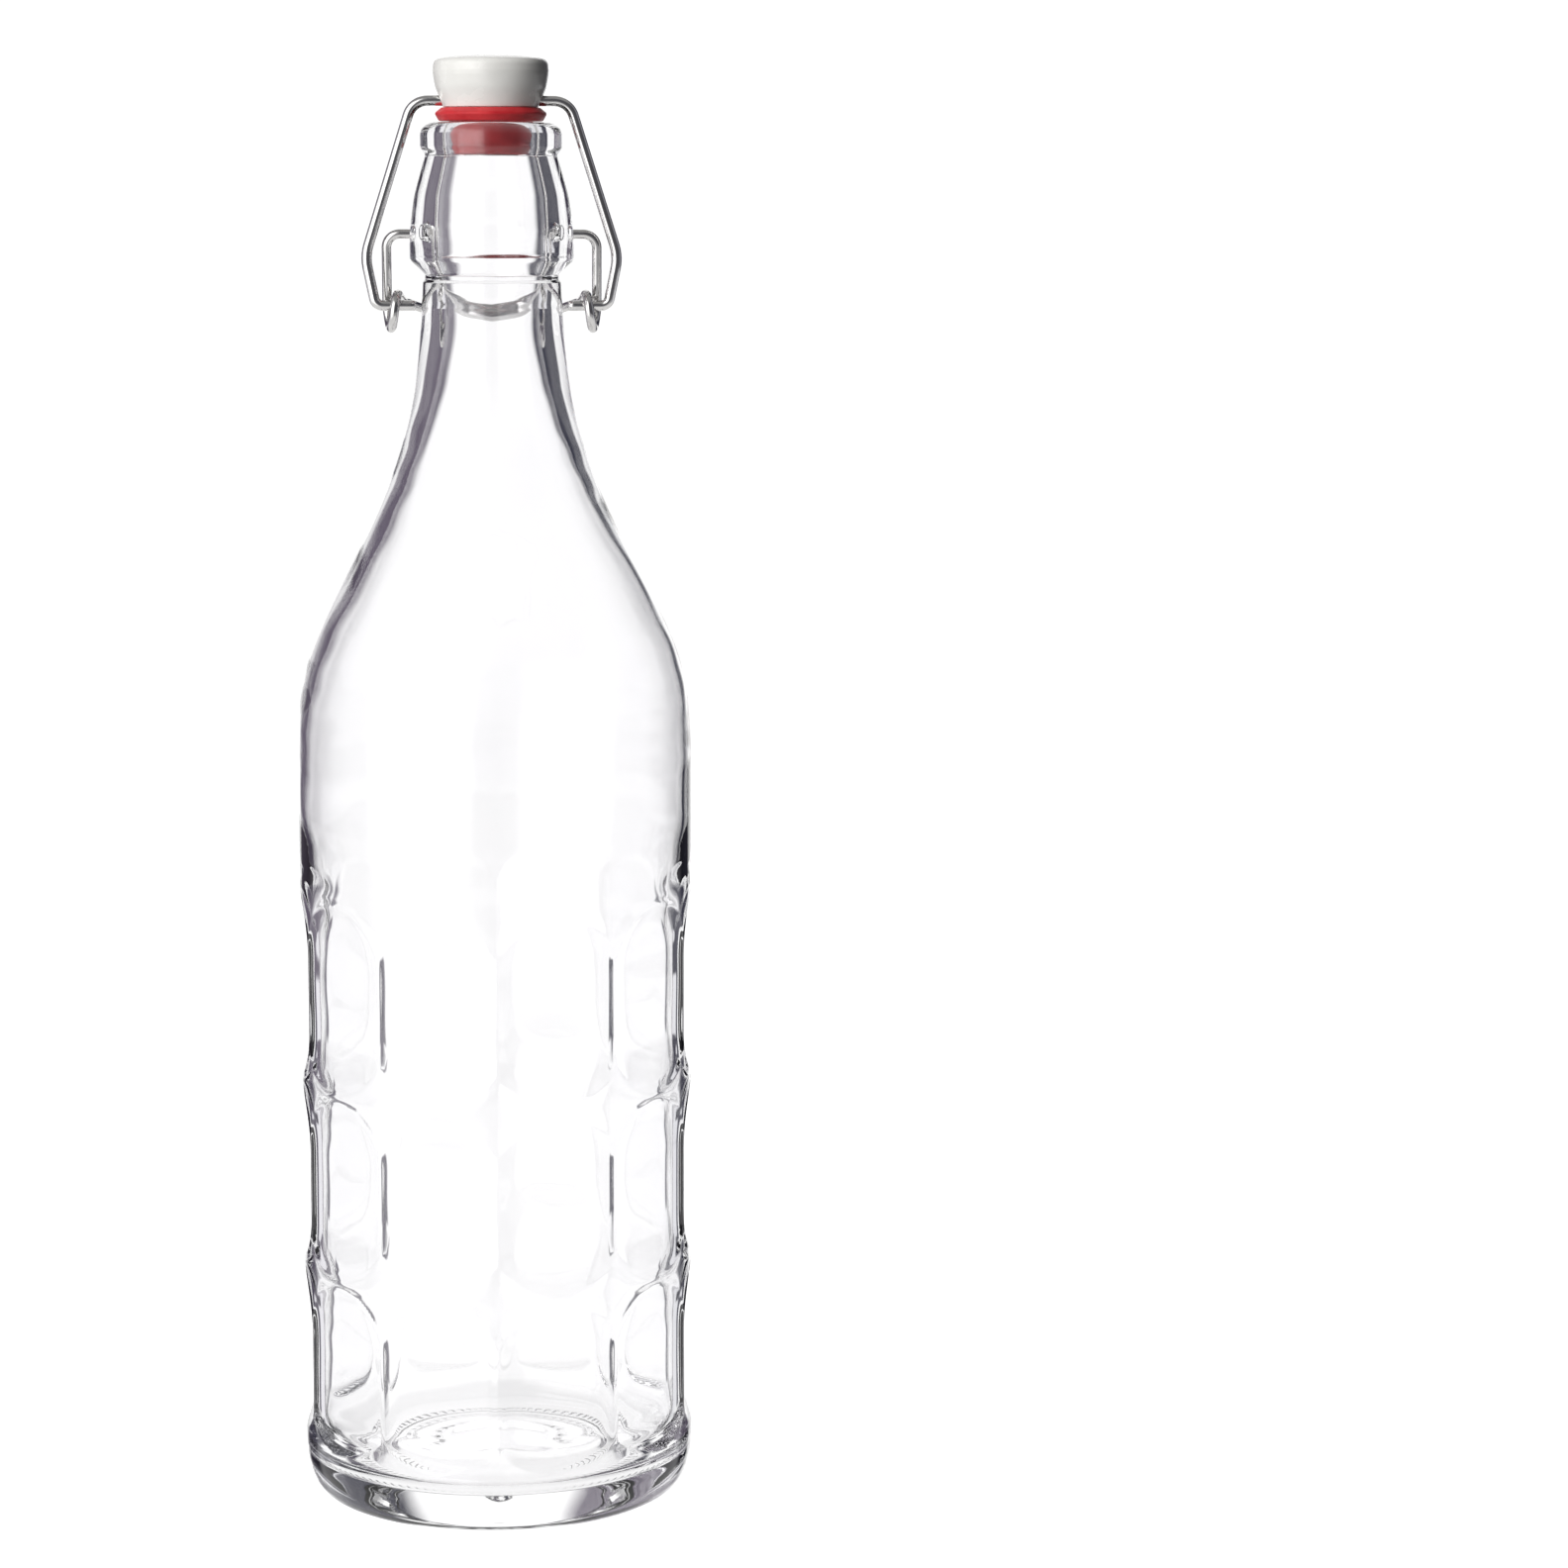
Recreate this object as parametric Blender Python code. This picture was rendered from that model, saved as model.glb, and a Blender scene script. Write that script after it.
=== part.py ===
"""Swing top bottle, one litre: a panelled glass bottle with a wire-held stopper.

The axis of the bottle is Z, its foot stands on z = 0 and its front is -Y.
The wires turn about lines along X. Lengths are in metres.
"""

from math import acos, atan2, cos, hypot, pi, radians, sin, sqrt, tan

import bmesh
import bpy
from mathutils import Vector

MM = 0.001

# Bottle, outside
BODY_R = 43.4 * MM
FOOT_INNER_R = 31.0 * MM
FOOT_OUTER_R = 36.6 * MM
PUSH_UP_H = 5.5 * MM
BODY_SEGMENTS = 80
NECK_SEGMENTS = 40

# Ten columns and three rows of shallow panels, pressed into the round body
PANEL_COLUMNS = 10
PANEL_DEPTH = 2.124 * MM
# Each row is its bottom, its top, and how far the arch at each end runs in
PANEL_ROWS = (
    (14.6 * MM, 52.2 * MM, 7.0 * MM, 14.0 * MM),
    (53.6 * MM, 93.5 * MM, 11.0 * MM, 14.0 * MM),
    (95.0 * MM, 136.7 * MM, 11.0 * MM, 14.0 * MM),
)

# Radius against height, from the foot up to where the panels begin
HEEL = ((36.6, 0.0), (39.2, 0.9), (40.9, 2.3), (42.1, 4.5), (43.0, 7.3))
# Radius against height, from the top of the body to the neck
SHOULDER = (
    (43.1, 175.7),
    (42.3, 182.3),
    (40.6, 188.9),
    (38.0, 195.4),
    (34.9, 202.0),
    (31.5, 208.6),
    (28.0, 215.1),
    (24.9, 221.7),
    (22.2, 228.3),
    (20.0, 234.8),
    (18.3, 241.3),
    (16.95, 247.9),
    (16.2, 254.3),
    (15.5, 262.0),
    (15.1, 270.2),
)
# Radius against height, from the step at the neck to the lip: the thick ring that holds the wire
FINISH = (
    (14.6, 270.8),
    (14.6, 271.8),
    (17.3, 274.6),
    (17.9, 276.2),
    (17.9, 281.5),
    (17.3, 286.5),
    (16.2, 291.5),
    (14.7, 297.2),
    (14.6, 298.9),
    (15.1, 300.1),
    (15.3, 301.6),
    (15.2, 303.1),
    (14.4, 304.3),
    (13.2, 304.8),
)
# Radius against height, from the mouth down the inside to the floor
INSIDE = (
    (10.2, 304.8),
    (9.5, 304.2),
    (9.4, 302.5),
    (9.4, 298.0),
    (10.6, 292.0),
    (11.2, 287.0),
    (11.2, 277.5),
    (10.8, 271.0),
    (10.4, 264.5),
    (10.7, 259.5),
    (11.7, 253.5),
    (13.0, 247.0),
    (14.8, 240.5),
    (16.9, 234.0),
    (19.5, 227.5),
    (22.4, 221.0),
    (25.7, 214.5),
    (29.2, 208.0),
    (32.6, 201.4),
    (35.7, 194.8),
    (38.3, 188.3),
    (40.1, 181.7),
    (41.1, 174.5),
    (41.3, 166.0),
    (41.2, 150.0),
    (39.9, 134.0),
    (39.8, 94.0),
    (39.8, 20.0),
    (39.0, 13.5),
    (37.0, 10.2),
    (33.5, 9.0),
    (28.0, 9.0),
    (15.0, 11.4),
)
FLOOR_H = 12.6 * MM

# The two hollows in the neck ring that the lower wire's ends turn in
PIVOT_H = 280.8 * MM
HOLLOW_BOTTOM_X = 12.9 * MM
HOLLOW_MOUTH_X = 18.6 * MM
HOLLOW_BOTTOM_R = 1.5 * MM
HOLLOW_MOUTH_R = 2.5 * MM

# Lower wire: the lever
LEVER_WIRE_R = 1.05 * MM
LEVER_END_X = 13.5 * MM
LEVER_LEG_X = 22.9 * MM
LEVER_BEND_R = 3.0 * MM
EYE_Y = -1.0 * MM
EYE_H = 264.1 * MM
EYE_R = 3.7 * MM
EYE_EXIT_X = 20.3 * MM
EYE_EXIT_SLOPE = radians(11)
EYE_STEPS = 22
# The loop behind the neck, as corners with the radius each is rounded to
LOOP_CORNERS = (
    (19.5 * MM, 7.4 * MM, 266.0 * MM, 6.0 * MM),
    (11.0 * MM, 18.4 * MM, 262.6 * MM, 8.0 * MM),
)
LOOP_BACK = (0.0, 18.4 * MM, 261.8 * MM)

# Upper wire: the bail
BAIL_WIRE_R = 1.15 * MM
CROSSBAR_H = 309.5 * MM
PIN_H = 265.3 * MM
PIN_END_X = 16.6 * MM
# Half of the bail from the crossbar to the pin: x, height and rounding of each corner
BAIL_CORNERS = (
    (16.97 * MM, CROSSBAR_H, 4.5 * MM),
    (27.5 * MM, 276.0 * MM, 10.0 * MM),
    (25.3 * MM, PIN_H, 1.9 * MM),
)
WIRE_SIDES = 12

# Stopper and its gasket
STOPPER = (
    (5.9, 297.5),
    (5.9, 298.6),
    (5.0, 298.6),
    (5.0, 308.5),
    (10.4, 308.5),
    (11.75, 311.0),
    (12.5, 313.6),
    (12.6, 315.6),
    (12.4, 317.2),
    (11.7, 318.1),
    (10.2, 318.6),
    (6.0, 319.2),
)
STOPPER_TOP_H = 319.35 * MM
STOPPER_FOOT_H = 297.5 * MM
CROSS_HOLE_R = 1.45 * MM
GASKET = (
    (5.3, 298.9),
    (6.6, 298.9),
    (7.8, 299.5),
    (8.6, 300.6),
    (8.85, 302.0),
    (8.85, 305.1),
    (10.9, 305.1),
    (11.7, 305.6),
    (12.28, 306.9),
    (11.7, 307.6),
    (10.7, 308.0),
    (5.3, 308.0),
)
STOPPER_SEGMENTS = 48
CREASE = radians(32)


def clear_scene():
    for old in list(bpy.data.objects):
        bpy.data.objects.remove(old, do_unlink=True)


def material(name, colour, roughness, metallic=0.0, transmission=0.0):
    made = bpy.data.materials.new(name)
    made.use_nodes = True
    shader = made.node_tree.nodes["Principled BSDF"]
    shader.inputs["Base Color"].default_value = (*colour, 1.0)
    shader.inputs["Roughness"].default_value = roughness
    shader.inputs["Metallic"].default_value = metallic
    shader.inputs["Transmission Weight"].default_value = transmission
    shader.inputs["IOR"].default_value = 1.5
    return made


def add_object(name, bm, origin, surface):
    """Turns a bmesh built in world space into an object with the given origin."""
    bmesh.ops.translate(bm, verts=bm.verts, vec=-origin)
    bmesh.ops.recalc_face_normals(bm, faces=bm.faces)
    if bm.calc_volume(signed=True) < 0:
        bmesh.ops.reverse_faces(bm, faces=bm.faces)
    mesh = bpy.data.meshes.new(name)
    bm.to_mesh(mesh)
    bm.free()
    mesh.shade_smooth()
    mesh.set_sharp_from_angle(angle=CREASE)
    if surface is not None:
        mesh.materials.append(surface)
    obj = bpy.data.objects.new(name, mesh)
    obj.location = origin
    bpy.context.scene.collection.objects.link(obj)
    return obj


def ring(bm, count, radius_at, height):
    """One closed row of points round the axis, the first of them at the front."""
    made = []
    for step in range(count):
        angle = 2 * pi * step / count
        r = radius_at(angle)
        made.append(bm.verts.new((r * sin(angle), -r * cos(angle), height)))
    return made


def bridge(bm, low, high):
    """Faces between two rows, which may have the same count or half or twice as many."""
    if len(low) == len(high):
        count = len(low)
        for i in range(count):
            j = (i + 1) % count
            bm.faces.new((low[i], low[j], high[j], high[i]))
        return
    fine, coarse = (low, high) if len(low) > len(high) else (high, low)
    count = len(coarse)
    for i in range(count):
        a, b, c = fine[2 * i], fine[2 * i + 1], fine[(2 * i + 2) % len(fine)]
        p, q = coarse[i], coarse[(i + 1) % count]
        bm.faces.new((a, b, p))
        bm.faces.new((b, q, p))
        bm.faces.new((b, c, q))


def close_ring(bm, row, height):
    centre = bm.verts.new((0.0, 0.0, height))
    for i, vert in enumerate(row):
        bm.faces.new((vert, row[(i + 1) % len(row)], centre))


def arch_rise(height):
    """How far a panel has come back out towards the round body at this height."""
    for bottom, top, low_run, high_run in PANEL_ROWS:
        if bottom <= height <= top:
            from_low = max(0.0, low_run - (height - bottom)) / low_run
            from_high = max(0.0, high_run - (top - height)) / high_run
            return PANEL_DEPTH * (from_low**2 + from_high**2)
    return PANEL_DEPTH * 2


def panel_radius(angle, height):
    """Radius of the body at an angle from the front: round, less the panel pressed into it."""
    pitch = 2 * pi / PANEL_COLUMNS
    off_centre = (angle % pitch) - pitch / 2
    depth = BODY_R - PANEL_DEPTH + arch_rise(height)
    return min(BODY_R, depth / cos(off_centre))


def panel_heights():
    """Heights of the rows of points on the panelled body, close together at the arches."""
    heights = []
    for bottom, top, low_run, high_run in PANEL_ROWS:
        heights += [bottom, bottom + 0.22 * low_run, bottom + 0.55 * low_run]
        heights += [bottom + low_run, top - high_run]
        heights += [top - 0.55 * high_run, top - 0.22 * high_run, top]
    return sorted(set(heights))


def build_bottle(glass):
    bm = bmesh.new()
    foot = ring(bm, BODY_SEGMENTS, lambda a: FOOT_INNER_R, 0.0)
    push = ring(bm, NECK_SEGMENTS, lambda a: FOOT_INNER_R - 1.6 * MM, 1.6 * MM)
    crown = ring(bm, NECK_SEGMENTS, lambda a: FOOT_INNER_R * 0.5, PUSH_UP_H * 0.82)
    bridge(bm, push, foot)
    bridge(bm, crown, push)
    close_ring(bm, crown, PUSH_UP_H)
    last = foot
    for r, z in HEEL:
        row = ring(bm, BODY_SEGMENTS, lambda a, r=r: r * MM, z * MM)
        bridge(bm, last, row)
        last = row
    # Where the heel meets the round body
    plain = ring(bm, BODY_SEGMENTS, lambda a: BODY_R, HEEL[-1][1] * MM + 5.0 * MM)
    bridge(bm, last, plain)
    last = plain
    for z in panel_heights():
        row = ring(bm, BODY_SEGMENTS, lambda a, z=z: panel_radius(a, z), z)
        bridge(bm, last, row)
        last = row
    top = ring(bm, BODY_SEGMENTS, lambda a: BODY_R, 166.0 * MM)
    bridge(bm, last, top)
    last = top
    for r, z in SHOULDER + FINISH + INSIDE:
        row = ring(bm, NECK_SEGMENTS, lambda a, r=r: r * MM, z * MM)
        bridge(bm, last, row)
        last = row
    close_ring(bm, last, FLOOR_H)
    bottle = add_object("bottle", bm, Vector((0, 0, 0)), glass)
    for side, label in ((1, "right"), (-1, "left")):
        cut = bottle.modifiers.new("pivot_" + label, "BOOLEAN")
        cut.operation = "DIFFERENCE"
        cut.solver = "EXACT"
        cut.object = build_hollow_cutter("pivot_cutter_" + label, side)
    return bottle


def build_hollow_cutter(name, side):
    """A tapered plug along X, which leaves a round hollow in the neck ring."""
    bm = bmesh.new()
    near = []
    far = []
    for step in range(24):
        angle = 2 * pi * step / 24
        c, s = cos(angle), sin(angle)
        near.append(
            bm.verts.new(
                (side * HOLLOW_BOTTOM_X, HOLLOW_BOTTOM_R * c, HOLLOW_BOTTOM_R * s + PIVOT_H)
            )
        )
        far.append(
            bm.verts.new(
                (side * HOLLOW_MOUTH_X, HOLLOW_MOUTH_R * c, HOLLOW_MOUTH_R * s + PIVOT_H)
            )
        )
    bridge(bm, near, far)
    bm.faces.new(near)
    bm.faces.new(far)
    cutter = add_object(name, bm, Vector((0, 0, 0)), None)
    cutter.hide_render = True
    cutter.display_type = "WIRE"
    return cutter


def rounded(corners):
    """Points along a line through (point, radius) corners, each rounded to its radius."""
    points = [corners[0][0]]
    for (before, _), (corner, radius), (after, _) in zip(corners, corners[1:], corners[2:]):
        back = (before - corner).normalized()
        ahead = (after - corner).normalized()
        half = acos(max(-1.0, min(1.0, back.dot(ahead)))) / 2
        turn = pi - 2 * half
        middle = corner + (back + ahead).normalized() * (radius / sin(half))
        start = corner + back * (radius / tan(half))
        arm = start - middle
        side = (corner - start).normalized() * radius
        steps = max(3, round(turn / radians(14)))
        for i in range(steps + 1):
            angle = turn * i / steps
            points.append(middle + arm * cos(angle) + side * sin(angle))
    points.append(corners[-1][0])
    return points


def sweep(bm, path, radius):
    """A round wire along the path, with its ends eased."""
    tangents = []
    for i in range(len(path)):
        ahead = path[min(i + 1, len(path) - 1)]
        back = path[max(i - 1, 0)]
        tangents.append((ahead - back).normalized())
    normal = tangents[0].orthogonal().normalized()
    rows = []
    ease = radius * 0.35
    stations = [(path[0], tangents[0], radius - ease)]
    stations.append((path[0] + tangents[0] * ease, tangents[0], radius))
    stations += [(p, t, radius) for p, t in zip(path[1:-1], tangents[1:-1])]
    stations.append((path[-1] - tangents[-1] * ease, tangents[-1], radius))
    stations.append((path[-1], tangents[-1], radius - ease))
    for point, tangent, r in stations:
        normal = (normal - tangent * normal.dot(tangent)).normalized()
        across = tangent.cross(normal)
        row = []
        for step in range(WIRE_SIDES):
            angle = 2 * pi * step / WIRE_SIDES
            spoke = normal * cos(angle) + across * sin(angle)
            row.append(bm.verts.new(point + spoke * r))
        rows.append(row)
    for low, high in zip(rows, rows[1:]):
        bridge(bm, low, high)
    bm.faces.new(rows[0])
    bm.faces.new(rows[-1])


def mirrored(half):
    """The whole path of a wire from one half of it, which ends on the middle plane."""
    other = [Vector((-p.x, p.y, p.z)) for p in reversed(half[:-1])]
    return half + other


def build_lever(steel):
    """The lower wire: an end in each hollow, an eye on each side and a loop round the back."""
    pivot = Vector((LEVER_LEG_X, 0.0, PIVOT_H))
    reach = hypot(pivot.y - EYE_Y, pivot.z - EYE_H)
    start = atan2(pivot.z - EYE_H, pivot.y - EYE_Y) - acos(EYE_R / reach)
    finish = -1.5 * pi - EYE_EXIT_SLOPE
    eye = []
    for i in range(EYE_STEPS + 1):
        share = i / EYE_STEPS
        angle = start + (finish - start) * share
        x = LEVER_LEG_X + (EYE_EXIT_X - LEVER_LEG_X) * share
        eye.append(Vector((x, EYE_Y + EYE_R * cos(angle), EYE_H + EYE_R * sin(angle))))
    leg = rounded(((Vector((LEVER_END_X, 0.0, PIVOT_H)), 0.0), (pivot, LEVER_BEND_R), (eye[0], 0.0)))
    loop = [(eye[-1], 0.0)]
    loop += [(Vector(corner[:3]), corner[3]) for corner in LOOP_CORNERS]
    loop.append((Vector(LOOP_BACK), 0.0))
    half = leg[:-1] + eye + rounded(loop)[1:]
    bm = bmesh.new()
    sweep(bm, mirrored(half), LEVER_WIRE_R)
    return add_object("lever", bm, Vector((0.0, 0.0, PIVOT_H)), steel)


def build_bail(steel):
    """The upper wire: over the stopper's cross hole and down to a pin through each eye."""

    def lean(height):
        return EYE_Y * (CROSSBAR_H - height) / (CROSSBAR_H - PIN_H)

    corners = [(Vector((PIN_END_X, lean(PIN_H), PIN_H)), 0.0)]
    corners += [(Vector((x, lean(z), z)), r) for x, z, r in reversed(BAIL_CORNERS)]
    corners.append((Vector((0.0, 0.0, CROSSBAR_H)), 0.0))
    bm = bmesh.new()
    sweep(bm, mirrored(rounded(corners)), BAIL_WIRE_R)
    return add_object("bail", bm, Vector((0.0, EYE_Y, PIN_H)), steel)


def build_stopper(white):
    bm = bmesh.new()
    rows = [ring(bm, STOPPER_SEGMENTS, lambda a, r=r: r * MM, z * MM) for r, z in STOPPER]
    for low, high in zip(rows, rows[1:]):
        bridge(bm, low, high)
    close_ring(bm, rows[0], STOPPER_FOOT_H)
    close_ring(bm, rows[-1], STOPPER_TOP_H)
    stopper = add_object("stopper", bm, Vector((0.0, 0.0, CROSSBAR_H)), white)
    hole = bmesh.new()
    ends = []
    for x in (-16.0 * MM, 16.0 * MM):
        row = []
        for step in range(20):
            angle = 2 * pi * (step + 0.5) / 20
            y, z = CROSS_HOLE_R * cos(angle), CROSS_HOLE_R * sin(angle)
            row.append(hole.verts.new((x, y, z + CROSSBAR_H)))
        ends.append(row)
    bridge(hole, ends[0], ends[1])
    hole.faces.new(ends[0])
    hole.faces.new(ends[1])
    cutter = add_object("cross_hole_cutter", hole, Vector((0, 0, 0)), None)
    cutter.hide_render = True
    cutter.display_type = "WIRE"
    cut = stopper.modifiers.new("cross_hole", "BOOLEAN")
    cut.operation = "DIFFERENCE"
    cut.solver = "EXACT"
    cut.object = cutter
    return stopper


def build_gasket(rubber):
    """A rubber ring round the stopper's stem: a flange on the lip and a plug in the mouth."""
    bm = bmesh.new()
    rows = [ring(bm, STOPPER_SEGMENTS, lambda a, r=r: r * MM, z * MM) for r, z in GASKET]
    for low, high in zip(rows, rows[1:] + rows[:1]):
        bridge(bm, low, high)
    return add_object("gasket", bm, Vector((0.0, 0.0, GASKET[0][1] * MM)), rubber)


def main():
    clear_scene()
    build_bottle(material("clear_glass", (0.93, 0.96, 0.95), 0.02, transmission=0.9))
    build_lever(material("lever_steel", (0.62, 0.61, 0.60), 0.25, metallic=1.0))
    build_bail(material("bail_steel", (0.66, 0.65, 0.64), 0.22, metallic=1.0))
    build_stopper(material("stopper_white", (0.84, 0.83, 0.80), 0.25))
    build_gasket(material("gasket_red", (0.55, 0.05, 0.05), 0.45))


main()
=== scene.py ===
"""Looks of a swing top bottle: panelled clear glass, a stopper on a red gasket, and two wires.

The bottle stands on z = 0 about the Z axis, and its front faces -Y. Lengths are in metres.
"""

from math import acos, atan2, cos, hypot, pi, radians, sin, tan

import bmesh
import bpy
import numpy as np
from mathutils import Euler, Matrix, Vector

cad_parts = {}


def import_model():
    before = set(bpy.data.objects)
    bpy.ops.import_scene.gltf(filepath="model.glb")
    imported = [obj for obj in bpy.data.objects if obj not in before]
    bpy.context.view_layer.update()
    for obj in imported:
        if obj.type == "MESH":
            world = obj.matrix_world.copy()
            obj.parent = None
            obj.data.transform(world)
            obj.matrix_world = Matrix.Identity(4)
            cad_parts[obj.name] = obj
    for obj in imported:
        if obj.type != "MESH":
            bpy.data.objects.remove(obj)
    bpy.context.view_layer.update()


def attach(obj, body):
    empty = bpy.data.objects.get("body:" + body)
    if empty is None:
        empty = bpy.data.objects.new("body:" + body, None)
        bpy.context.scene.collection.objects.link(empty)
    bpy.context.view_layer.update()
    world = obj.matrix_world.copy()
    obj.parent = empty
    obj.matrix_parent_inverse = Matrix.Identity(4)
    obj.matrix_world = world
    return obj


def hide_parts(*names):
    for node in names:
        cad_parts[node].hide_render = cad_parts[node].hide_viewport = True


MM = 0.001

# Camera: it stands level with the neck, a little to one side, and looks slightly down
CAMERA_DISTANCE = 0.9466
CAMERA_HEIGHT = 0.2907
CAMERA_PITCH = radians(7.885)
CAMERA_YAW = radians(3.88)
CAMERA_ROLL = radians(0.15)
CAMERA_LENS = 98.65
SENSOR = 36.0

# Panels pressed into the body: ten columns in three rows
BODY_R = 43.399 * MM
PANEL_COLUMNS = 10
PANEL_DEPTH = 2.124 * MM
RIDGE_BLEND = 0.33 * MM
ARCH_BLEND = 0.10 * MM
# Each row: its bottom and top, and how far its lower and upper arches run into it
PANEL_ROWS = (
    (14.6 * MM, 52.2 * MM, 7.0 * MM, 14.0 * MM),
    (53.6 * MM, 93.5 * MM, 11.0 * MM, 14.0 * MM),
    (95.0 * MM, 136.7 * MM, 11.0 * MM, 14.0 * MM),
)
# Between the rows and beyond them the flats stand this many depths out, clear of the round body
PLAIN_RISE = 1.4
# The inner wall follows the panels: its flats, its round parts, and how softly they meet
INNER_FLAT = 38.9 * MM
INNER_ROUND = 40.8 * MM
INNER_BLEND = 1.6 * MM
# The flats of the inner wall fade in and out between these heights
INNER_START = (14 * MM, 22 * MM)
INNER_END = (142 * MM, 128 * MM)
# Unevenness of the inner wall, in mm, and how far it leans sideways at the shoulder
SLOW_WAVE = 0.10
QUICK_WAVE = 0.035
SHOULDER_LEAN = 0.8 * MM
# Radial ticks under the foot
FOOT_TICKS = 100
TICK_DEPTH = 0.50 * MM
TICK_RING = (32.2 * MM, 36.2 * MM)
GLASS_SEGMENTS = 400
# The last points of the outside profile are the bore's, which is shaped as the inside is
BORE_POINTS = 30

# Wires, and the holes that hold them. The heights and the radius without MM are in mm
LEVER_WIRE_R = 1.05 * MM
BAIL_WIRE_R = 1.15 * MM
WIRE_SIDES = 28
PIVOT_HEIGHT = 280.8
HOLLOW_START = 13.0 * MM
CROSS_HOLE_HEIGHT = 309.5 * MM
CROSS_HOLE_R = 1.45
EYE_Y = -1.0 * MM


# --- meshes ---------------------------------------------------------------------------


def filleted(points, step=radians(6)):
    """A polyline of Vectors from (point, radius) corners, each corner rounded to its radius."""
    made = [points[0][0]]
    for (before, _), (corner, radius), (after, _) in zip(points, points[1:], points[2:]):
        back = (before - corner).normalized()
        ahead = (after - corner).normalized()
        half = acos(max(-1.0, min(1.0, back.dot(ahead)))) / 2
        if radius <= 0 or abs(half - pi / 2) < 1e-4:
            made.append(corner)
            continue
        turn = pi - 2 * half
        middle = corner + (back + ahead).normalized() * (radius / sin(half))
        start = corner + back * (radius / tan(half))
        arm = start - middle
        side = (corner - start).normalized() * radius
        count = max(3, round(turn / step))
        for i in range(count + 1):
            angle = turn * i / count
            made.append(middle + arm * cos(angle) + side * sin(angle))
    made.append(points[-1][0])
    return made


def spline(points, spacing):
    """A smooth curve through (radius, height) points in mm, as Vectors in metres."""
    knots = [Vector((r, 0, z)) * MM for r, z in points]
    knots = [knots[0] * 2 - knots[1]] + knots + [knots[-1] * 2 - knots[-2]]
    made = []
    for a, b, c, d in zip(knots, knots[1:], knots[2:], knots[3:]):
        count = max(1, round((c - b).length / spacing))
        for i in range(count):
            t = i / count
            made.append(
                0.5
                * (
                    2 * b
                    + (c - a) * t
                    + (2 * a - 5 * b + 4 * c - d) * t**2
                    + (3 * b - a - 3 * c + d) * t**3
                )
            )
    made.append(knots[-2])
    return made


def corners(*points):
    """(Vector, radius) corners from (r, z, rounding) in mm."""
    return [(Vector((r, 0, z)) * MM, rounding * MM) for r, z, rounding in points]


def even(path, spacing):
    """The same polyline with long stretches cut into pieces of about the spacing."""
    made = [path[0]]
    for a, b in zip(path, path[1:]):
        count = max(1, round((b - a).length / spacing))
        made += [a.lerp(b, i / count) for i in range(1, count + 1)]
    return made


def lathe(name, profile, segments, shape=None):
    """A surface turned about Z from a profile of Vectors, closed where it meets the axis.

    shape(angles, r, z, ring) may give each ring its own radii and heights, and a shift along X.
    """
    angles = np.arange(segments) * 2 * pi / segments
    rings = []
    for number, point in enumerate(profile):
        radii = np.full(segments, point.x)
        heights = np.full(segments, point.z)
        shift = 0.0
        if shape is not None:
            radii, heights, shift = shape(angles, point.x, point.z, number)
        across = radii * np.sin(angles) + shift
        rings.append(np.stack([across, -radii * np.cos(angles), heights], axis=1))
    verts = np.concatenate(rings)
    count = len(profile)
    i = np.arange(segments)
    j = (i + 1) % segments
    band = np.stack([i, j, j + segments, i + segments], axis=1)
    faces = np.concatenate([band + k * segments for k in range(count - 1)]).tolist()
    ends = np.array([rings[0].mean(axis=0), rings[-1].mean(axis=0)])
    low, high = len(verts), len(verts) + 1
    faces += [(low, int(b), int(a)) for a, b in zip(i, j)]
    last = (count - 1) * segments
    faces += [(high, last + int(a), last + int(b)) for a, b in zip(i, j)]
    return new_object(name, np.concatenate([verts, ends]), faces)


def closed_lathe(name, profile, segments):
    """A ring turned about Z from a closed profile that stays clear of the axis."""
    angles = np.arange(segments) * 2 * pi / segments
    rings = [
        np.stack([p.x * np.sin(angles), -p.x * np.cos(angles), np.full(segments, p.z)], axis=1)
        for p in profile
    ]
    count = len(profile)
    i = np.arange(segments)
    j = (i + 1) % segments
    faces = []
    for k in range(count):
        low = k * segments
        high = ((k + 1) % count) * segments
        faces += np.stack([low + i, low + j, high + j, high + i], axis=1).tolist()
    return new_object(name, np.concatenate(rings), faces)


def new_object(name, verts, faces):
    mesh = bpy.data.meshes.new(name)
    mesh.from_pydata([tuple(v) for v in verts], [], faces)
    mesh.validate()
    bm = bmesh.new()
    bm.from_mesh(mesh)
    bmesh.ops.recalc_face_normals(bm, faces=bm.faces)
    if bm.calc_volume(signed=True) < 0:
        bmesh.ops.reverse_faces(bm, faces=bm.faces)
    bm.to_mesh(mesh)
    bm.free()
    mesh.shade_smooth()
    obj = bpy.data.objects.new(name, mesh)
    bpy.context.scene.collection.objects.link(obj)
    return obj


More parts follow.
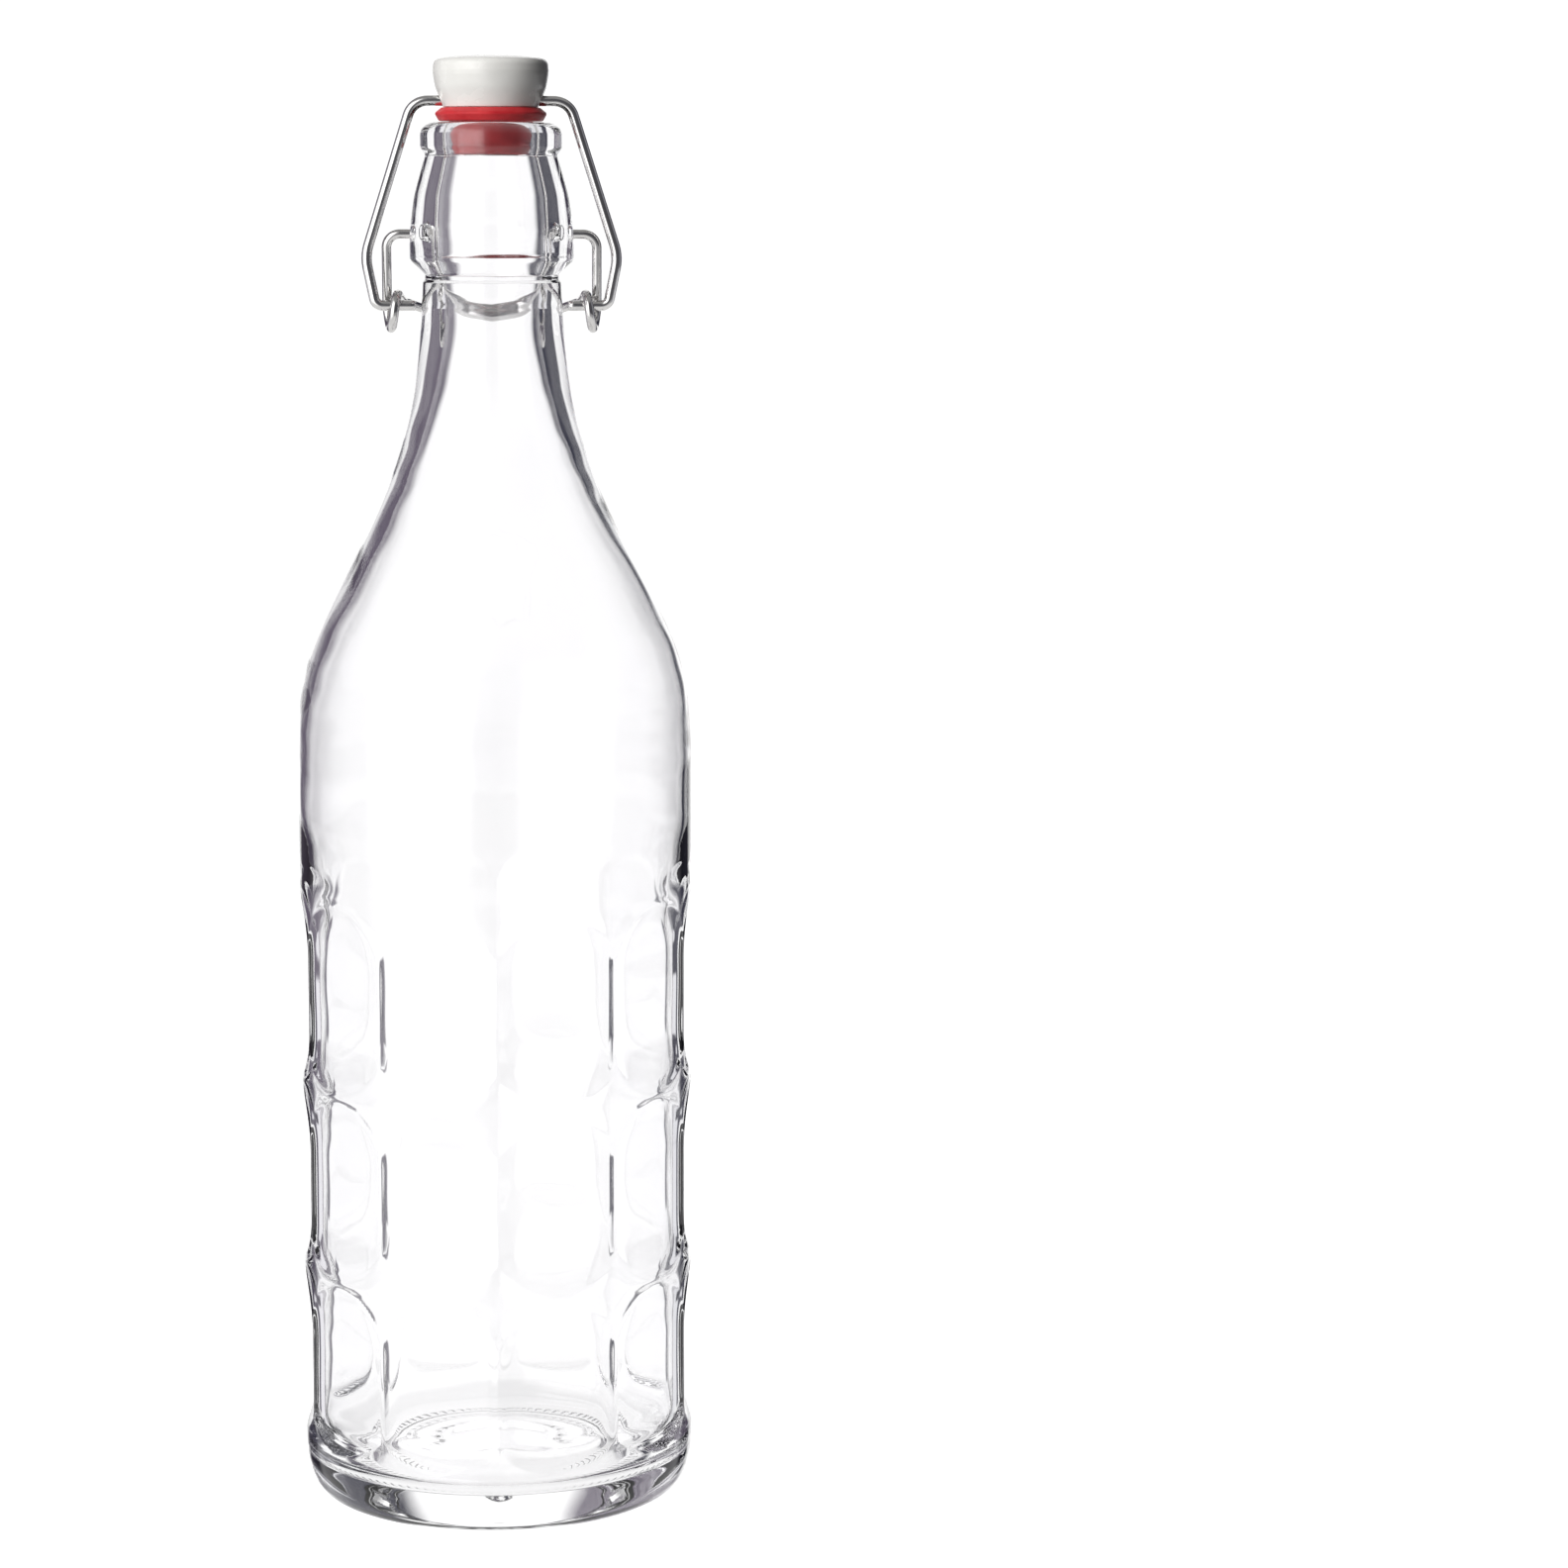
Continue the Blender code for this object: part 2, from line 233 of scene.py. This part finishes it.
def wire(name, path, radius):
    """A round wire along the path, with UVs along and round it and slightly eased cut ends."""
    last = len(path) - 1
    tangents = [
        (path[min(i + 1, last)] - path[max(i - 1, 0)]).normalized() for i in range(len(path))
    ]
    first_way, last_way = tangents[0], tangents[-1]
    ease = radius * 0.22
    stations = [
        (path[0], first_way, radius - ease),
        (path[0] + first_way * ease, first_way, radius),
        *((p, t, radius) for p, t in zip(path[1:-1], tangents[1:-1])),
        (path[-1] - last_way * ease, last_way, radius),
        (path[-1], last_way, radius - ease),
    ]
    normal = first_way.orthogonal().normalized()
    bm = bmesh.new()
    uv = bm.loops.layers.uv.new("along")
    rows, lengths, run = [], [], 0.0
    for k, (point, tangent, r) in enumerate(stations):
        normal = (normal - tangent * normal.dot(tangent)).normalized()
        across = tangent.cross(normal)
        if k:
            run += (point - stations[k - 1][0]).length
        lengths.append(run)
        row = []
        for step in range(WIRE_SIDES):
            angle = 2 * pi * step / WIRE_SIDES
            row.append(bm.verts.new(point + (normal * cos(angle) + across * sin(angle)) * r))
        rows.append(row)
    for k in range(len(rows) - 1):
        for s in range(WIRE_SIDES):
            t = (s + 1) % WIRE_SIDES
            face = bm.faces.new((rows[k][s], rows[k][t], rows[k + 1][t], rows[k + 1][s]))
            turns = ((s, 0), (s + 1, 0), (s + 1, 1), (s, 1))
            for loop, (around, ahead) in zip(face.loops, turns):
                loop[uv].uv = (lengths[k + ahead] * 100, around / WIRE_SIDES)
    bm.faces.new(rows[0])
    bm.faces.new(rows[-1])
    bmesh.ops.recalc_face_normals(bm, faces=bm.faces)
    mesh = bpy.data.meshes.new(name)
    bm.to_mesh(mesh)
    bm.free()
    mesh.shade_smooth()
    mesh.set_sharp_from_angle(angle=radians(50))
    obj = bpy.data.objects.new(name, mesh)
    bpy.context.scene.collection.objects.link(obj)
    return obj


def mirrored(half):
    """The whole path of a wire from one half of it, which ends on the middle plane."""
    return half + [Vector((-p.x, p.y, p.z)) for p in reversed(half[:-1])]


# --- the glass ------------------------------------------------------------------------


def soft_min(a, b, k):
    """The lesser of a and b, rounded off where they come within k of each other."""
    h = np.maximum(k - np.abs(a - b), 0) / k
    return np.minimum(a, b) - h * h * k / 4


def arch_rise(height):
    """How far a panel has come back out towards the round body at this height."""
    for bottom, top, low_run, high_run in PANEL_ROWS:
        if bottom <= height <= top:
            from_low = max(0.0, low_run - (height - bottom)) / low_run
            from_high = max(0.0, high_run - (top - height)) / high_run
            return PANEL_DEPTH * (from_low**2 + from_high**2)
    return PANEL_DEPTH * PLAIN_RISE


def flats(angles, distance, blend):
    """Radii of a ring of flats, one for each column, at this distance from the axis."""
    pitch = 2 * pi / PANEL_COLUMNS
    left, own, right = (
        distance / np.cos((angles % pitch) - pitch / 2 - neighbour * pitch)
        for neighbour in (-1, 0, 1)
    )
    return soft_min(soft_min(left, own, blend), right, blend)


def panelled(angles, radius, height):
    """Radii of the body at a height: round, less the panels pressed into it."""
    flat = flats(angles, BODY_R - PANEL_DEPTH + arch_rise(height), RIDGE_BLEND)
    return soft_min(flat, np.full_like(flat, radius), ARCH_BLEND)


def eased_share(value, start, end):
    """0 before the start and 1 past the end, eased in between."""
    share = min(1.0, max(0.0, (value - start) / (end - start)))
    return share * share * (3 - 2 * share)


def glass_shape(angles, radius, height, inside):
    """Panels outside, ticks under the foot, and the uneven wall that blowing leaves inside."""
    radii = np.full_like(angles, radius)
    heights = np.full_like(angles, height)
    shift = 0.0
    low, high = PANEL_ROWS[0][0], PANEL_ROWS[-1][1]
    on_body = abs(radius - BODY_R) < 0.02 * MM and low - 2 * MM < height < high + 2 * MM
    if not inside and on_body:
        radii = panelled(angles, radius, height)
    if not inside and height < 0.05 * MM and TICK_RING[0] < radius < TICK_RING[1]:
        wave = np.maximum(0, np.cos(angles * FOOT_TICKS))
        heights = heights + TICK_DEPTH * wave
    if inside and radius > 39.0 * MM and height < INNER_END[0]:
        share = eased_share(height, *INNER_START) * eased_share(height, *INNER_END)
        flat = flats(angles, INNER_FLAT + arch_rise(height), INNER_BLEND)
        wall = soft_min(flat, np.full_like(flat, INNER_ROUND), INNER_BLEND)
        radii = radii + (wall - radii) * share
    if inside and 18 * MM < height < 296 * MM:
        z = height / MM
        slow = np.sin(z / 6.1 + 1.7 * np.sin(z / 17)) * np.sin(2 * angles + z / 23)
        quick = np.sin(z / 1.9 + 2 * np.sin(z / 7.3)) * np.sin(5 * angles + z / 11 + 1.0)
        calm = 0.3 if 250 < z < 272 else 1.0
        radii = radii + calm * (SLOW_WAVE * slow + QUICK_WAVE * quick) * MM
        shoulder = max(0.0, 1 - abs(z - 200) / 42)
        shift = SHOULDER_LEAN * shoulder * shoulder * (3 - 2 * shoulder)
    return radii, heights, shift


def bottle_profile():
    """From the push-up over the outside and the lip to the middle of the floor.

    It returns the points and how many of them are outside.
    """
    foot = even(
        filleted(
            corners(
                (0.2, 5.6, 0),
                (12, 5.3, 20),
                (27, 2.6, 8),
                (31.2, 0.0, 1.2),
                (36.4, 0.0, 1.5),
            )
        ),
        0.5 * MM,
    )[:-1]
    heel = spline(
        (
            (34.0, 0.0),
            (36.4, 0.0),
            (39.2, 0.9),
            (40.9, 2.3),
            (42.1, 4.5),
            (43.0, 7.9),
            (43.399, 12.0),
        ),
        0.4 * MM,
    )
    heel = [Vector((p.x, 0, max(0.0, p.z))) for p in heel if p.x > 36.4 * MM]
    body = even([Vector((BODY_R, 0, 12.2 * MM)), Vector((BODY_R, 0, 138.8 * MM))], 0.55 * MM)
    plain = even([Vector((BODY_R, 0, 139.6 * MM)), Vector((BODY_R, 0, 160 * MM))], 2.0 * MM)
    shoulder = spline(
        (
            (43.399, 165.0),
            (43.36, 170.0),
            (43.05, 176.0),
            (42.3, 182.3),
            (40.6, 188.9),
            (38.0, 195.4),
            (34.9, 202.0),
            (31.5, 208.6),
            (28.0, 215.1),
            (24.9, 221.7),
            (22.2, 228.3),
            (20.0, 234.8),
            (18.2, 241.3),
            (16.95, 247.9),
            (16.2, 254.3),
            (15.55, 262.0),
            (15.15, 269.0),
        ),
        1.1 * MM,
    )
    finish = even(
        filleted(
            corners(
                (15.15, 269.2, 0),
                (15.1, 270.4, 0.3),
                (14.6, 270.9, 0.3),
                (14.6, 272.0, 0.5),
                (17.95, 275.2, 1.6),
                (17.95, 281.0, 12),
                (16.9, 289.0, 24),
                (14.4, 297.9, 0.8),
                (15.5, 299.2, 2.0),
                (15.5, 304.8, 2.9),
                (9.5, 304.8, 1.2),
                (9.4, 298.0, 6),
                (11.4, 288.5, 14),
                (11.9, 281.0, 16),
                (11.2, 272.5, 16),
                (10.45, 265.0, 0),
            )
        ),
        0.6 * MM,
    )
    inner = spline(
        (
            (10.43, 264.5),
            (10.6, 259.5),
            (11.6, 253.5),
            (12.9, 247.0),
            (14.6, 240.5),
            (16.6, 234.0),
            (19.2, 227.5),
            (22.1, 221.0),
            (25.4, 214.5),
            (29.0, 208.0),
            (32.5, 201.4),
            (35.8, 194.8),
            (38.4, 188.3),
            (40.4, 181.7),
            (41.55, 174.5),
            (41.9, 166.0),
        ),
        1.5 * MM,
    )
    wall = even(
        filleted(
            corners(
                (41.9, 164.0, 0),
                (41.8, 150.0, 60),
                (39.9, 133.0, 60),
                (39.8, 18.0, 0),
            )
        ),
        0.9 * MM,
    )
    floor = spline(
        (
            (39.7, 17.0),
            (39.0, 12.6),
            (37.0, 9.6),
            (33.5, 8.3),
            (28.0, 8.4),
            (20.0, 10.0),
            (10.0, 11.7),
            (4.0, 12.3),
            (0.2, 12.4),
        ),
        1.0 * MM,
    )
    outside = foot + heel + body + plain + shoulder + finish
    return outside + inner + wall + floor, len(outside)


def cut_away(obj, cutter):
    """Takes the cutter's shape out of the object for good, and removes the cutter."""
    cut = obj.modifiers.new("cut", "BOOLEAN")
    cut.operation = "DIFFERENCE"
    cut.solver = "EXACT"
    cut.object = cutter
    graph = bpy.context.evaluated_depsgraph_get()
    mesh = bpy.data.meshes.new_from_object(obj.evaluated_get(graph))
    obj.modifiers.clear()
    obj.data = mesh
    bpy.data.objects.remove(cutter)


def build_glass(surface):
    """The bottle, with a hollow on each side of the neck for the ends of the lever."""
    profile, outside = bottle_profile()

    def shape(angles, radius, height, ring):
        return glass_shape(angles, radius, height, ring >= outside - BORE_POINTS)

    glass = lathe("bottle_glass", profile, GLASS_SEGMENTS, shape)
    hollow = filleted(corners((0.0, 0.0, 0), (1.5, 0.0, 0.6), (2.5, 5.8, 0), (2.5, 6.4, 0)))
    for side, label in ((1, "right"), (-1, "left")):
        cutter = lathe("hollow_cutter_" + label, hollow[1:], 40)
        cutter.location = (side * HOLLOW_START, 0, PIVOT_HEIGHT * MM)
        cutter.rotation_euler = (0, side * pi / 2, 0)
        cut_away(glass, cutter)
    glass.data.materials.append(surface)
    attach(glass, "bottle_body")
    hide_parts("bottle")


# --- the closure ----------------------------------------------------------------------


def build_lever(surface):
    """The lower wire: an end in each hollow, an eye on each side and a loop round the back."""
    pivot = Vector((22.9, 0.0, PIVOT_HEIGHT)) * MM
    eye_h, eye_r, exit_x = 264.1 * MM, 3.7 * MM, 20.3 * MM
    reach = hypot(pivot.y - EYE_Y, pivot.z - eye_h)
    start = atan2(pivot.z - eye_h, pivot.y - EYE_Y) - acos(eye_r / reach)
    finish = -1.5 * pi - radians(11)
    eye = []
    steps = 60
    for i in range(steps + 1):
        share = i / steps
        angle = start + (finish - start) * share
        x = pivot.x + (exit_x - pivot.x) * share
        eye.append(Vector((x, EYE_Y + eye_r * cos(angle), eye_h + eye_r * sin(angle))))
    leg = filleted([(Vector((13.5 * MM, 0.0, pivot.z)), 0), (pivot, 3.0 * MM), (eye[0], 0)])
    loop = filleted(
        [
            (eye[-1], 0),
            (Vector((19.5, 7.4, 266.0)) * MM, 6.0 * MM),
            (Vector((11.0, 18.4, 262.6)) * MM, 8.0 * MM),
            (Vector((0.0, 18.4, 261.8)) * MM, 0),
        ]
    )
    half = leg[:-1] + eye + loop[1:]
    lever = wire("lever_wire", even(mirrored(half), 1.2 * MM), LEVER_WIRE_R)
    lever.data.materials.append(surface)
    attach(lever, "lever_body")
    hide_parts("lever")


def build_bail(surface):
    """The upper wire: over the stopper's cross hole and down to a pin through each eye."""
    top, bottom = CROSS_HOLE_HEIGHT, 265.3 * MM

    def at(x, z):
        return Vector((x, EYE_Y * (top - z) / (top - bottom), z))

    half = filleted(
        [
            (at(16.6 * MM, bottom), 0),
            (at(25.3 * MM, bottom), 1.9 * MM),
            (at(27.5 * MM, 276.0 * MM), 10.0 * MM),
            (at(16.97 * MM, top), 4.5 * MM),
            (at(0.0, top), 0),
        ]
    )
    bail = wire("bail_wire", even(mirrored(half), 1.2 * MM), BAIL_WIRE_R)
    bail.data.materials.append(surface)
    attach(bail, "bail_body")
    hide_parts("bail")


def build_stopper(surface):
    """Off-white head, and the stem and foot that hold the gasket."""
    outline = filleted(
        corners(
            (0.2, 297.5, 0),
            (5.9, 297.5, 0.35),
            (5.9, 298.7, 0.3),
            (5.0, 298.7, 0),
            (5.0, 308.08, 0),
            (10.35, 308.08, 0.3),
            (12.1, 312.4, 8),
            (12.55, 315.0, 3),
            (12.62, 315.9, 0.4),
            (12.45, 318.5, 1.7),
            (7.0, 319.12, 14),
            (0.2, 319.33, 0),
        )
    )
    stopper = lathe("stopper_head", even(outline, 0.35 * MM), 160)
    cutter = lathe(
        "cross_hole_cutter",
        [Vector((CROSS_HOLE_R * MM, 0, z * MM)) for z in (-16, 16)],
        48,
    )
    cutter.location = (0, 0, CROSS_HOLE_HEIGHT)
    cutter.rotation_euler = (0, pi / 2, 0)
    cut_away(stopper, cutter)
    stopper.data.set_sharp_from_angle(angle=radians(40))
    stopper.data.materials.append(surface)
    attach(stopper, "stopper_body")
    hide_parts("stopper")


def build_gasket(surface):
    """The rubber ring: a flange on the mouth and a plug in it."""
    outline = filleted(
        corners(
            (5.3, 303.0, 0),
            (5.3, 298.9, 0.15),
            (6.6, 298.9, 0.3),
            (8.4, 300.1, 1.2),
            (8.9, 302.0, 1.5),
            (8.9, 305.1, 0.5),
            (11.3, 305.1, 0.5),
            (12.28, 306.8, 0.6),
            (10.75, 308.0, 0.3),
            (5.3, 308.0, 0.1),
            (5.3, 303.2, 0),
        )
    )
    gasket = closed_lathe("gasket_ring", even(outline, 0.3 * MM), 160)
    gasket.data.set_sharp_from_angle(angle=radians(50))
    gasket.data.materials.append(surface)
    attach(gasket, "stopper_body")
    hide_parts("gasket")


# --- materials ------------------------------------------------------------------------


def fill_ramp(ramp, stops):
    """Gives a colour ramp its stops, as (place, (red, green, blue))."""
    elements = ramp.color_ramp.elements
    while len(elements) < len(stops):
        elements.new(0.5)
    for element, (place, colour) in zip(elements, stops):
        element.position = place
        element.color = (*colour, 1.0)


class Nodes:
    """A small helper that adds nodes to a material and links them."""

    def __init__(self, name):
        self.material = bpy.data.materials.new(name)
        self.material.use_nodes = True
        self.tree = self.material.node_tree
        self.shader = self.tree.nodes["Principled BSDF"]

    def add(self, kind):
        return self.tree.nodes.new(kind)

    def link(self, source, target):
        self.tree.links.new(source, target)

    def coords(self, scale, kind="Object"):
        """Coordinates of this kind, stretched."""
        place = self.add("ShaderNodeTexCoord")
        mapping = self.add("ShaderNodeMapping")
        mapping.inputs["Scale"].default_value = scale
        self.link(place.outputs[kind], mapping.inputs["Vector"])
        return mapping.outputs["Vector"]

    def noise(self, vector, scale, detail=2.0, roughness=0.5):
        node = self.add("ShaderNodeTexNoise")
        node.inputs["Scale"].default_value = scale
        node.inputs["Detail"].default_value = detail
        node.inputs["Roughness"].default_value = roughness
        self.link(vector, node.inputs["Vector"])
        return node.outputs["Fac"]

    def ramp(self, source, stops):
        node = self.add("ShaderNodeValToRGB")
        fill_ramp(node, stops)
        self.link(source, node.inputs["Fac"])
        return node.outputs["Color"]

    def spread(self, source, low, high):
        """The source, which goes from 0 to 1, put between low and high."""
        node = self.add("ShaderNodeMapRange")
        node.inputs["To Min"].default_value = low
        node.inputs["To Max"].default_value = high
        self.link(source, node.inputs["Value"])
        return node.outputs["Result"]

    def bump(self, source, distance, strength=1.0, after=None):
        node = self.add("ShaderNodeBump")
        node.inputs["Strength"].default_value = strength
        node.inputs["Distance"].default_value = distance
        self.link(source, node.inputs["Height"])
        if after is not None:
            self.link(after, node.inputs["Normal"])
        return node.outputs["Normal"]

    def set(self, **values):
        """Sets the shader's sockets: each value is an output to link, or a plain value."""
        for key, value in values.items():
            socket = self.shader.inputs[key.replace("_", " ")]
            if hasattr(value, "is_linked"):
                self.link(value, socket)
            else:
                socket.default_value = value


def glass_material():
    """Clear pressed glass: nearly colourless, faintly uneven, as moulded glass is."""
    n = Nodes("pressed_glass")
    wide = n.noise(n.coords((1, 1, 0.45)), 60.0, 1.0)
    fine = n.noise(n.coords((1, 1, 0.25)), 260.0, 2.0)
    waves = n.bump(wide, 0.00006)
    n.set(
        Base_Color=n.ramp(wide, ((0.3, (0.985, 0.982, 0.990)), (0.7, (1.0, 0.998, 1.0)))),
        Roughness=n.spread(fine, 0.0, 0.02),
        Transmission_Weight=1.0,
        IOR=1.52,
        Normal=n.bump(fine, 0.000006, after=waves),
    )
    return n.material


def steel_material(name, tone):
    """Bright drawn wire: fine lines along its length, with duller and brighter stretches."""
    n = Nodes(name)
    along = n.coords((0.08, 9.0, 1.0), "UV")
    lines = n.noise(along, 9.0, 4.0, 0.6)
    patches = n.noise(n.coords((1, 1, 1)), 320.0, 3.0)
    n.set(
        Base_Color=n.ramp(patches, ((0.3, [c * 0.86 for c in tone]), (0.7, tone))),
        Metallic=1.0,
        Roughness=n.spread(lines, 0.10, 0.20),
        Normal=n.bump(lines, 0.000003),
    )
    return n.material


def stopper_material():
    """Glossy off-white, with a faint mottle and a little unevenness in the gloss."""
    n = Nodes("stopper_offwhite")
    mottle = n.noise(n.coords((1, 1, 1)), 170.0, 3.0)
    grain = n.noise(n.coords((1, 1, 1)), 1400.0, 2.0)
    n.set(
        Base_Color=n.ramp(mottle, ((0.35, (0.74, 0.73, 0.70)), (0.65, (0.79, 0.78, 0.75)))),
        Roughness=n.spread(mottle, 0.20, 0.32),
        Coat_Weight=0.35,
        Coat_Roughness=0.08,
        Normal=n.bump(grain, 0.000012),
    )
    return n.material


def gasket_material():
    """Soft red rubber with a satin face and a fine moulded grain."""
    n = Nodes("gasket_rubber")
    mottle = n.noise(n.coords((1, 1, 1)), 240.0, 3.0)
    grain = n.noise(n.coords((1, 1, 2)), 2200.0, 3.0)
    n.set(
        Base_Color=n.ramp(mottle, ((0.3, (0.42, 0.012, 0.018)), (0.7, (0.56, 0.03, 0.035)))),
        Roughness=n.spread(grain, 0.34, 0.52),
        Normal=n.bump(grain, 0.00002),
    )
    return n.material


# --- studio ---------------------------------------------------------------------------

# Light from round the bottle: (degrees to the right of straight behind it, colour)
LEVEL_LIGHT = (
    (-180, (0.09, 0.09, 0.10)),
    (-168, (0.45, 0.45, 0.46)),
    (-160, (2.40, 2.40, 2.40)),
    (-106, (2.40, 2.40, 2.40)),
    (-98, (0.55, 0.55, 0.57)),
    (-72, (0.52, 0.52, 0.55)),
    (-62, (0.14, 0.12, 0.16)),
    (-21, (0.13, 0.11, 0.15)),
    (-15, (1.12, 1.12, 1.12)),
    (19, (1.12, 1.12, 1.12)),
    (25, (0.05, 0.05, 0.07)),
    (64, (0.04, 0.04, 0.06)),
    (76, (0.30, 0.30, 0.33)),
    (104, (0.28, 0.28, 0.31)),
    (116, (0.07, 0.07, 0.08)),
    (150, (0.10, 0.10, 0.11)),
    (180, (0.09, 0.09, 0.10)),
)
# The same from the floor, which is pale but for two narrow flags
FLOOR_LIGHT = (
    (-180, (0.42, 0.42, 0.43)),
    (-168, (0.65, 0.65, 0.66)),
    (-160, (1.60, 1.60, 1.60)),
    (-106, (1.60, 1.60, 1.60)),
    (-98, (0.85, 0.85, 0.87)),
    (-44, (0.85, 0.84, 0.88)),
    (-38, (0.08, 0.07, 0.10)),
    (-21, (0.08, 0.07, 0.10)),
    (-15, (1.08, 1.08, 1.08)),
    (19, (1.08, 1.08, 1.08)),
    (25, (0.04, 0.04, 0.06)),
    (38, (0.04, 0.04, 0.06)),
    (44, (0.80, 0.80, 0.83)),
    (104, (0.76, 0.76, 0.79)),
    (116, (0.42, 0.42, 0.44)),
    (180, (0.42, 0.42, 0.43)),
)
BRIGHTEST = 4.0


def surround_nodes(tree, x, y, stops):
    """The studio's light, as a share of BRIGHTEST, by the angle of (x, y) from straight behind."""
    turn = tree.nodes.new("ShaderNodeMath")
    turn.operation = "ARCTAN2"
    tree.links.new(x, turn.inputs[0])
    tree.links.new(y, turn.inputs[1])
    share = tree.nodes.new("ShaderNodeMapRange")
    share.inputs["From Min"].default_value = -pi
    share.inputs["From Max"].default_value = pi
    tree.links.new(turn.outputs[0], share.inputs["Value"])
    ramp = tree.nodes.new("ShaderNodeValToRGB")
    fill_ramp(
        ramp,
        [
            ((angle + 180) / 360, [level / BRIGHTEST for level in colour])
            for angle, colour in stops
        ],
    )
    tree.links.new(share.outputs["Result"], ramp.inputs["Fac"])
    return ramp.outputs["Color"]


def mix(tree, factor, first, second):
    """factor 0 gives first and 1 gives second; each is a socket or a colour."""
    node = tree.nodes.new("ShaderNodeMix")
    node.data_type = "RGBA"
    tree.links.new(factor, node.inputs["Factor"])
    for socket, value in ((node.inputs["A"], first), (node.inputs["B"], second)):
        if hasattr(value, "is_linked"):
            tree.links.new(value, socket)
        else:
            socket.default_value = value
    return node.outputs["Result"]


def grey(level):
    """A neutral colour, as a share of BRIGHTEST."""
    return (level / BRIGHTEST, level / BRIGHTEST, level / BRIGHTEST, 1.0)


def eased(tree, value, start, end):
    """0 before the start and 1 past the end, for a height given as the sine of its angle."""
    node = tree.nodes.new("ShaderNodeMapRange")
    node.interpolation_type = "SMOOTHSTEP"
    node.inputs["From Min"].default_value = sin(radians(start))
    node.inputs["From Max"].default_value = sin(radians(end))
    tree.links.new(value, node.inputs["Value"])
    return node.outputs["Result"]


def build_world():
    """White behind, dim to the matt surfaces, and a lit and flagged studio in glass and steel."""
    world = bpy.data.worlds.new("studio")
    bpy.context.scene.world = world
    world.use_nodes = True
    tree = world.node_tree
    background = tree.nodes["Background"]
    background.inputs["Strength"].default_value = BRIGHTEST
    place = tree.nodes.new("ShaderNodeTexCoord")
    split = tree.nodes.new("ShaderNodeSeparateXYZ")
    tree.links.new(place.outputs["Generated"], split.inputs["Vector"])
    level = surround_nodes(tree, split.outputs["X"], split.outputs["Y"], LEVEL_LIGHT)
    low = surround_nodes(tree, split.outputs["X"], split.outputs["Y"], FLOOR_LIGHT)
    dome = mix(tree, eased(tree, split.outputs["Z"], -10.0, -8.6), low, level)
    dome = mix(tree, eased(tree, split.outputs["Z"], 38, 60), dome, grey(0.35))
    dome = mix(tree, eased(tree, split.outputs["Z"], -31, -20), grey(0.95), dome)
    path = tree.nodes.new("ShaderNodeLightPath")
    dome = mix(tree, path.outputs["Is Diffuse Ray"], dome, grey(0.07))
    seen = mix(tree, path.outputs["Is Camera Ray"], dome, grey(1.1))
    tree.links.new(seen, background.inputs["Color"])


def build_floor():
    """A plain pale floor, for the camera only: the glass bends the light of the studio."""
    count, radius = 96, 60
    turns = [2 * pi * i / count for i in range(count)]
    ring = [(radius * sin(turn), radius * cos(turn), 0.0) for turn in turns]
    mesh = bpy.data.meshes.new("floor")
    mesh.from_pydata(ring, [], [tuple(reversed(range(count)))])
    floor = bpy.data.objects.new("floor", mesh)
    bpy.context.scene.collection.objects.link(floor)
    floor.location.z = -0.0003
    n = Nodes("pale_floor")
    n.set(Base_Color=(0.8, 0.8, 0.8, 1), Roughness=0.9, Specular_IOR_Level=0.0)
    n.set(Emission_Color=(1.0, 1.0, 1.0, 1), Emission_Strength=0.9)
    floor.data.materials.append(n.material)
    floor.visible_glossy = False
    floor.visible_transmission = False
    floor.visible_diffuse = False


def build_light():
    """A softbox at the front left, which lights the matt surfaces only."""
    data = bpy.data.lights.new("key_softbox", "AREA")
    data.shape = "RECTANGLE"
    data.size, data.size_y = 0.50, 0.90
    data.energy = 21.0
    light = bpy.data.objects.new("key_softbox", data)
    bpy.context.scene.collection.objects.link(light)
    place, target = Vector((-0.86, -0.95, 0.75)), Vector((0, 0, 0.28))
    light.location = place
    light.rotation_euler = (target - place).to_track_quat("-Z", "Y").to_euler()
    light.visible_camera = False
    light.visible_glossy = False
    light.visible_transmission = False


def build_camera():
    data = bpy.data.cameras.new("camera")
    data.lens = CAMERA_LENS
    data.sensor_width = SENSOR
    data.clip_start = 0.01
    data.clip_end = 200.0
    camera = bpy.data.objects.new("camera", data)
    bpy.context.scene.collection.objects.link(camera)
    camera.location = (0.0, -CAMERA_DISTANCE, CAMERA_HEIGHT)
    turn = Euler((pi / 2 - CAMERA_PITCH, 0, -CAMERA_YAW), "XYZ").to_matrix()
    roll = Euler((0, 0, CAMERA_ROLL), "XYZ").to_matrix()
    camera.rotation_euler = (turn @ roll).to_euler()
    bpy.context.scene.camera = camera


def main():
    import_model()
    build_glass(glass_material())
    build_lever(steel_material("lever_wire_steel", (0.70, 0.69, 0.68)))
    build_bail(steel_material("bail_wire_steel", (0.72, 0.71, 0.70)))
    build_stopper(stopper_material())
    build_gasket(gasket_material())
    build_floor()
    build_world()
    build_light()
    build_camera()
    scene = bpy.context.scene
    scene.view_settings.view_transform = "Standard"
    scene.cycles.max_bounces = 24
    scene.cycles.transmission_bounces = 24
    scene.cycles.glossy_bounces = 8


main()
